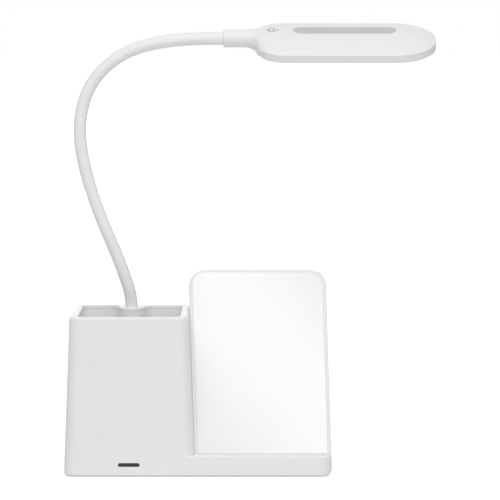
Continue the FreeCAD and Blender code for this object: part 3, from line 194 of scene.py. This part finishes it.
MATERIALS = {
    # Injected ABS: satin outside, greyer and rougher underneath; the cup's copy is painted whiter, as painted
    # light that stands in for light inside the cup.
    "housing_white": moulded_abs("satin_white_abs", "#efeff1", "#eceef0", 0.45, 1.1, 0.02),
    # painted light: the cup's white is lighter than the housing's to stand in for light inside the cup
    "cup_white": moulded_abs("cup_abs_whitened_as_painted_light", "#f9f9fa", "#f7f8f9", 0.5, 1.1, 0.02),
    "cover_white": moulded_abs("cover_white_abs", "#e6e8ea", "#e2e4e7", 0.55, 1.4, 0.04),
    # The phone panel's sheet and the neck's skin have functions of their own above.
    "panel_gloss_white": polished_acrylic(),
    "neck_silicone": silicone_skin(),
    # Dark glossy window that hides the lights behind it, and the dull rubber of the foot.
    "smoked_lens": plain_solid("smoked_polycarbonate", "#2d3033", 0.18, 0.0, 2.0, 0.005),
    "foot_rubber": plain_solid("grey_foot_rubber", "#4a4c50", 0.75, 0.0, 0.8, 0.05),
    # Bright plated screws, and the dull rolled plate that weighs the base down.
    "screw_steel": plain_solid("zinc_plated_steel", "#a9abb0", 0.34, 1.0, 0.6, 0.01),
    "ballast_steel": plain_solid("mill_finish_steel", "#74777c", 0.5, 1.0, 1.6, 0.04),
    # The cells: glossy blue film, an unpainted grey-white cradle and bright contact strips.
    "cell_wrap": plain_solid("heat_shrink_wrap", "#2f6f9e", 0.3, 0.0, 4.0, 0.02),
    "inner_plastic": plain_solid("natural_abs", "#cfcfc8", 0.5, 0.0, 1.2, 0.03),
    "contact_nickel": plain_solid("nickel_strip", "#c4bfb5", 0.28, 1.0, 0.7, 0.01),
    # Lacquered boards, green in the base and white in the head, with matt black chips on them.
    "circuit_board": plain_solid("green_solder_mask", "#1d5a38", 0.3, 0.0, 0.9, 0.02),
    "light_board": plain_solid("white_solder_mask", "#eeeeea", 0.35, 0.0, 0.9, 0.02),
    "chip_black": plain_solid("moulded_epoxy", "#1b1b1d", 0.45, 0.0, 0.5, 0.02),
    # Yellow gel over each light, and the milky window in front of them.
    "led_phosphor": plain_solid("phosphor_gel", "#f0d873", 0.3, 0.0, 0.5, 0.01),
    "diffuser_opal": plain_solid("opal_polycarbonate", "#f4f3ee", 0.4, 0.0, 0.9, 0.03),
    # Fittings: a smooth plated socket, turned and pressed brass, and the wound hose of the neck.
    "socket_steel": plain_solid("nickel_plated_steel", "#b9babd", 0.25, 1.0, 0.6, 0.01),
    "ferrule_brass": plain_solid("turned_brass", "#c8a355", 0.28, 1.0, 0.4, 0.01),
    "nut_brass": plain_solid("pressed_brass", "#c29a4c", 0.32, 1.0, 0.5, 0.02),
    "hose_steel": plain_solid("wound_steel", "#8f9297", 0.35, 1.0, 0.9, 0.05),
    "lead_pvc": plain_solid("white_pvc", "#e4e4e0", 0.4, 0.0, 1.0, 0.02),
    # Matt grey foil let into the head, and the button: ABS with a finer grain and a little more shine.
    "strip_grey": plain_solid("silver_grey_foil", "#c4c4c7", 0.55, 0.0, 1.2, 0.01),
    "button_white": moulded_abs("button_white_abs", "#f2f3f4", "#f0f1f2", 0.35, 0.8, 0.01)}

# Ink pressed on with a pad: thin, even and matt.
PAD_PRINT = plain_solid("grey_pad_print", "#76777b", 0.5, 0.0, 0.6, 0.005)


# ---- pieces -------------------------------------------------------------------------------------
BODY_OF = {node: body for body, nodes in frame["record"]["behaviour"]["bodies"].items() for node in nodes}
SLOT_OF = {name: node.material_slots[0].material.name for name, node in frame["nodes"].items()}


def select_only(piece):
    """Makes a piece the only selected and the active one, for the operators that follow."""
    bpy.ops.object.select_all(action="DESELECT")
    piece.select_set(True)
    bpy.context.view_layer.objects.active = piece


def edit(piece, action):
    """Opens a piece in edit mode, with all or nothing of it selected."""
    select_only(piece)
    bpy.ops.object.mode_set(mode="EDIT")
    bpy.ops.mesh.select_all(action=action)


def shade(piece, crease_degrees):
    """Smooth shading that keeps flat faces flat and edges sharper than the crease angle."""
    select_only(piece)
    bpy.ops.object.shade_smooth_by_angle(angle=math.radians(crease_degrees))
    weighted = piece.modifiers.new("even_faces", "WEIGHTED_NORMAL")
    weighted.keep_sharp = True
    bpy.ops.object.modifier_apply(modifier=weighted.name)


def dress(piece, slot):
    """Gives a piece the material of its slot."""
    piece.data.materials.clear()
    piece.data.materials.append(MATERIALS[slot])


def packed_copy(node, name):
    """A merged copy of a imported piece, not shaded yet, which stands for it on the same body."""
    piece = bpy.data.objects.new(name, frame["nodes"][node].data.copy())
    bpy.context.collection.objects.link(piece)
    select_only(piece)
    bpy.ops.mesh.customdata_custom_splitnormals_clear()
    edit(piece, "SELECT")
    bpy.ops.mesh.remove_doubles(threshold=MERGE)
    bpy.ops.object.mode_set(mode="OBJECT")
    dress(piece, SLOT_OF[node])
    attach(piece, BODY_OF[node])
    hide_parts(node)
    return piece


def smooth_copies(names_by_node):
    """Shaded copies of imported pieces, made in the order given."""
    for node, name in names_by_node.items():
        shade(packed_copy(node, name), CREASE)


def make_panel():
    """The phone panel, drawn out in its own plane so that it nearly fills its pocket."""
    piece = packed_copy("phone_panel", "panel")
    front = max(piece.data.polygons, key=lambda face: face.area * -face.normal.y).normal
    up = front.cross(Vector((1, 0, 0)))
    low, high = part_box("phone_panel")
    centre = (low + high) / 2
    half_width = (high.x - low.x) / 2
    half_height = (high.z - low.z) / 2 / abs(up.z)
    for vertex in piece.data.vertices:
        reach = vertex.co - centre
        vertex.co.x += reach.x / half_width * PANEL_GROWTH
        vertex.co += up * (reach.dot(up) / half_height * PANEL_GROWTH)
    shade(piece, PANEL_CREASE)


# ---- gooseneck ----------------------------------------------------------------------------------
HINGES = [joint for joint in frame["joints"] if "pos_m" in joint]   # the button's joint has no place


def radius_of(node):
    """Radius of a tube, from its width across the plane of the neck."""
    low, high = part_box(node)
    return (high.y - low.y) / 2


def heading_of(vector):
    """Lean from +Z towards +X, in radians."""
    return math.atan2(vector.x, vector.z)


def across(heading):
    """Unit vector a quarter turn further on than a heading."""
    return Vector((math.cos(heading), 0, -math.sin(heading)))


def turned(point, hub, angle):
    """A point turned about a hub, in the plane of the neck."""
    return hub + Matrix.Rotation(angle, 3, "Y") @ (point - hub)


def neck_arcs():
    """Start, heading, turn and hub of each arc of the neck: they join the hinges, from rim to head."""
    low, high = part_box("neck_ferrule")
    start = Vector(((low.x + high.x) / 2, (low.y + high.y) / 2, high.z))
    heading, arcs = 0.0, []
    for hinge in HINGES:
        end = Vector(hinge["pos_m"])
        chord = end - start
        turn = 2 * (heading_of(chord) - heading)
        radius = chord.length / (2 * math.sin(turn / 2))
        arcs.append((start, heading, turn, start + across(heading) * radius))
        start, heading = end, heading + turn
    collar_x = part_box("head_top_shell")[0].x
    turn = math.pi / 2 - heading
    radius = (collar_x - start.x) / math.cos(heading)
    arcs.append((start, heading, turn, start + across(heading) * radius))
    return arcs


SKIN_RADIUS = radius_of("neck_sleeve_0")
SKIN_WALL = SKIN_RADIUS - radius_of("neck_hose_0") - SKIN_PLAY
ARCS = neck_arcs()


def make_neck_skin(number):
    """Rubber tube from the middle of one arc to the middle of the next, across one hinge."""
    first, last = number == 1, number == len(HINGES)
    start, heading, turn, hub = ARCS[number - 1]
    skipped = 0.0 if first else turn / 2
    bpy.ops.object.select_all(action="DESELECT")
    bpy.ops.mesh.primitive_circle_add(vertices=SKIN_SIDES, radius=SKIN_RADIUS, fill_type="NOTHING",
                                      location=turned(start, hub, skipped),
                                      rotation=(0, heading + skipped, 0))
    piece = bpy.context.active_object
    piece.name = "neck_skin_%d" % number
    bpy.ops.object.transform_apply(location=True, rotation=True, scale=True)
    bpy.ops.object.mode_set(mode="EDIT")
    bpy.ops.mesh.spin(steps=SKIN_STEPS, angle=-(turn - skipped), center=hub, axis=(0, 1, 0))
    start, heading, turn, hub = ARCS[number]
    bpy.ops.mesh.spin(steps=SKIN_STEPS, angle=-(turn if last else turn / 2), center=hub, axis=(0, 1, 0))
    if last:
        bpy.ops.mesh.extrude_region_move(TRANSFORM_OT_translate={"value": (COLLAR_SEAT, 0, 0)})
    bpy.ops.mesh.select_all(action="SELECT")
    bpy.ops.mesh.normals_make_consistent(inside=False)
    bpy.ops.object.mode_set(mode="OBJECT")
    wall = piece.modifiers.new("wall", "SOLIDIFY")
    wall.thickness = SKIN_WALL
    wall.offset = -1.0
    bpy.ops.object.modifier_apply(modifier=wall.name)
    shade(piece, SKIN_CREASE)
    dress(piece, "neck_silicone")
    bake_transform(piece)
    nodes = ["neck_sleeve_%d" % number] + (["neck_sleeve_0"] if first else [])
    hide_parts(*nodes)


# ---- head ---------------------------------------------------------------------------------------
def head_turn():
    """Turn of the head about its own length, taken from the axis that the button slides on."""
    axis = [Vector(joint["axis"]) for joint in frame["joints"] if joint["name"] == "button_press"][0]
    return Matrix.Rotation(math.atan2(axis.y, -axis.z), 3, "X")


def button_distance():
    """How far the middle of the button is from the collar, along the head."""
    low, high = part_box("power_button")
    return (HEAD_TURN.inverted() @ ((low + high) / 2 - COLLAR)).x


COLLAR = turned(ARCS[-1][0], ARCS[-1][3], ARCS[-1][2])
HEAD_TURN = head_turn()
HEAD_FACE = COLLAR_RADIUS
BUTTON_FACE = HEAD_FACE + BUTTON_PROUD
BUTTON_U = button_distance()


def head_place(u, v, w):
    """A place on the head: along it from the collar, across it, and out of its flat plane."""
    return COLLAR + HEAD_TURN @ Vector((u, v, w))


def on_collar_edge(place):
    """Whether a place is on the outer edge of the collar's end face."""
    arm = place - COLLAR
    on_face = abs(arm.x) < COLLAR_DEPTH_SLACK
    return on_face and abs(math.hypot(arm.y, arm.z) - COLLAR_RADIUS) < COLLAR_SLACK


def make_head_shell():
    """The top shell of the head, with the outer edge of the collar that the neck goes into rounded."""
    piece = packed_copy("head_top_shell", "head_shell")
    edit(piece, "DESELECT")
    bpy.ops.object.mode_set(mode="OBJECT")
    points = piece.data.vertices
    for line in piece.data.edges:
        line.select = all(on_collar_edge(points[index].co) for index in line.vertices)
    bpy.ops.object.mode_set(mode="EDIT")
    bpy.ops.mesh.bevel(offset=COLLAR_ROUNDING, segments=COLLAR_STEPS, affect="EDGES")
    bpy.ops.object.mode_set(mode="OBJECT")
    shade(piece, CREASE)


def print_mark(name, outline, body, face):
    """Grey ink on a face of the head: a flat outline about the button, with a printed layer's thickness."""
    bpy.ops.object.select_all(action="DESELECT")
    bpy.ops.mesh.primitive_circle_add(vertices=len(outline), radius=1.0, fill_type="NGON")
    piece = bpy.context.active_object
    piece.name = name
    for vertex, (u, v) in zip(piece.data.vertices, outline):
        vertex.co = head_place(BUTTON_U + u, v, face - INK_SUNK)
    edit(piece, "SELECT")
    thickness = HEAD_TURN @ Vector((0, 0, INK_SUNK + INK_PROUD))
    bpy.ops.mesh.extrude_region_move(TRANSFORM_OT_translate={"value": thickness})
    bpy.ops.mesh.select_all(action="SELECT")
    bpy.ops.mesh.normals_make_consistent(inside=False)
    bpy.ops.object.mode_set(mode="OBJECT")
    piece.data.materials.append(PAD_PRINT)
    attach(piece, body)


def arc_outline(radius, turns):
    """Corners of an arc about the button's middle."""
    return [(radius * math.cos(turn), radius * math.sin(turn)) for turn in turns]


def bar_outline(start, end):
    """Corners of a bar along the head, on its middle line."""
    half = INK_WIDTH / 2
    return [(start, -half), (end, -half), (end, half), (start, half)]


def make_power_symbol():
    """An open ring with a bar in its gap, which points along the head; the bar runs on past the button."""
    gap = math.radians(RING_GAP)
    turns = [gap + (2 * math.pi - 2 * gap) * step / RING_STEPS for step in range(RING_STEPS + 1)]
    ring = arc_outline(RING_RADIUS, turns) + arc_outline(RING_RADIUS - INK_WIDTH, reversed(turns))
    print_mark("power_ring", ring, "button", BUTTON_FACE)
    print_mark("power_bar", bar_outline(*BAR_ON_BUTTON), "button", BUTTON_FACE)
    print_mark("power_bar_end", bar_outline(*BAR_ON_HEAD), "head", HEAD_FACE)


# ---- stage, light and camera --------------------------------------------------------------------
FLOOR_RADIUS = 9.0
FLOOR_SIDES = 96
FLOOR_LIFT = 0.5                # share of white that the camera sees added to the floor near the lamp
SHADOW_REACH = (0.15, 0.6)      # the floor turns from that to plain white between these distances
SKY_LIGHT = 0.36                # even light from all round, as a share of white

AIM = (0.02, 0.0, 0.15)         # what the lights point at
LIGHTS = (                      # name, place, width, height, watts, turn about its own beam in degrees
    ("overhead", (0.0, -1.0, 2.1), 2.4, 1.6, 27.5, 0.0),
    ("front", (0.3, -2.2, 0.35), 1.2, 0.8, 5.0, 0.0),
    ("diagonal", (0.06, -2.2, 1.055), 0.2, 0.7, 2.6, 38.0),     # the slanting band in the glossy panel
    ("back", (-0.3, 2.2, 0.35), 1.8, 0.7, 9.0, 0.0))

CAMERA_PLACE = (0.0342, -1.718, 0.3265)
CAMERA_DOWN = 6.01              # degrees below level
CAMERA_FIELD = 10.98            # degrees from side to side
CAMERA_SENSOR = 36.0            # width of the sensor, in millimetres
CAMERA_CLIP = (0.05, 60.0)


def make_floor():
    """Pale floor that the camera sees as white, with the lamp's soft shadow near its base."""
    bpy.ops.object.select_all(action="DESELECT")
    bpy.ops.mesh.primitive_circle_add(vertices=FLOOR_SIDES, radius=FLOOR_RADIUS, fill_type="NGON")
    floor = bpy.context.active_object
    floor.name = "floor"
    material, tree, place = new_material("pale_floor")
    rays = add(tree, "ShaderNodeLightPath", {}, {})
    paint = add(tree, "ShaderNodeBsdfDiffuse", {}, {"Color": linear("#f2f2f2")})
    away = add(tree, "ShaderNodeVectorMath", {"operation": "LENGTH"}, {0: place})
    whiter = add(tree, "ShaderNodeMapRange", {}, {
        "Value": away.outputs["Value"], "From Min": SHADOW_REACH[0], "From Max": SHADOW_REACH[1],
        "To Min": FLOOR_LIFT, "To Max": 1.0})
    lift = add(tree, "ShaderNodeEmission", {}, {"Color": linear("#ffffff"),
                                                "Strength": whiter.outputs["Result"]})
    black = add(tree, "ShaderNodeEmission", {}, {"Color": linear("#000000"), "Strength": 0.0})
    seen = add(tree, "ShaderNodeMixShader", {}, {"Fac": rays.outputs["Is Camera Ray"],
                                                 1: black.outputs[0], 2: lift.outputs[0]})
    both = add(tree, "ShaderNodeAddShader", {}, {0: paint.outputs[0], 1: seen.outputs[0]})
    facing = add(tree, "ShaderNodeNewGeometry", {}, {})
    clear = add(tree, "ShaderNodeBsdfTransparent", {}, {})
    one_sided = add(tree, "ShaderNodeMixShader", {}, {"Fac": facing.outputs["Backfacing"],
                                                      1: both.outputs[0], 2: clear.outputs[0]})
    add(tree, "ShaderNodeOutputMaterial", {}, {"Surface": one_sided.outputs[0]})
    floor.data.materials.append(material)


def make_world():
    """Even soft light; the camera and reflections see white beyond the floor."""
    world = bpy.data.worlds.new("studio")
    bpy.context.scene.world = world
    world.use_nodes = True
    tree = world.node_tree
    tree.nodes.clear()
    rays = add(tree, "ShaderNodeLightPath", {}, {})
    glossy = add(tree, "ShaderNodeMath", {"operation": "MAXIMUM"},
                 {0: rays.outputs["Is Camera Ray"], 1: rays.outputs["Is Glossy Ray"]})
    seen = add(tree, "ShaderNodeMath", {"operation": "MAXIMUM"},
               {0: glossy.outputs[0], 1: rays.outputs["Is Transmission Ray"]})
    soft = add(tree, "ShaderNodeBackground", {}, {"Color": linear("#ffffff"), "Strength": SKY_LIGHT})
    white = add(tree, "ShaderNodeBackground", {}, {"Color": linear("#ffffff"), "Strength": 1.0})
    mixed = add(tree, "ShaderNodeMixShader", {}, {"Fac": seen.outputs[0], 1: soft.outputs[0],
                                                  2: white.outputs[0]})
    add(tree, "ShaderNodeOutputWorld", {}, {"Surface": mixed.outputs[0]})


def area_light(name, place, width, height, watts, turn_degrees):
    """A white softbox that points at the lamp."""
    data = bpy.data.lights.new(name, "AREA")
    data.shape = "RECTANGLE"
    data.size = width
    data.size_y = height
    data.energy = watts
    softbox = bpy.data.objects.new(name, data)
    bpy.context.collection.objects.link(softbox)
    softbox.location = place
    facing = (Vector(AIM) - Vector(place)).to_track_quat("-Z", "Y")
    roll = Euler((0, 0, math.radians(turn_degrees))).to_quaternion()
    softbox.rotation_euler = (facing @ roll).to_euler()


def make_camera():
    """A long lens a little above the lamp, which looks along +Y and slightly down."""
    data = bpy.data.cameras.new("camera")
    data.sensor_width = CAMERA_SENSOR
    data.lens = CAMERA_SENSOR / 2 / math.tan(math.radians(CAMERA_FIELD / 2))
    data.clip_start, data.clip_end = CAMERA_CLIP
    camera = bpy.data.objects.new("camera", data)
    bpy.context.collection.objects.link(camera)
    camera.location = CAMERA_PLACE
    camera.rotation_euler = (math.radians(90 - CAMERA_DOWN), 0.0, 0.0)
    bpy.context.scene.camera = camera


# ---- the lamp -----------------------------------------------------------------------------------
for node, packed in frame["nodes"].items():
    packed.material_slots[0].material = MATERIALS[SLOT_OF[node]]

for number in range(1, len(HINGES) + 1):
    make_neck_skin(number)
smooth_copies({"base_housing": "housing"})
make_panel()
smooth_copies({"pen_cup": "cup", "indicator_lens": "lens", "bottom_cover": "cover", "foot_ring": "foot"})
make_head_shell()
smooth_copies({"head_frame": "head_underside", "diffuser": "light_window", "accent_strip": "inlay",
               "power_button": "button"})
make_power_symbol()

make_floor()
make_world()
for light in LIGHTS:
    area_light(*light)
make_camera()
bpy.context.scene.view_settings.view_transform = "Standard"
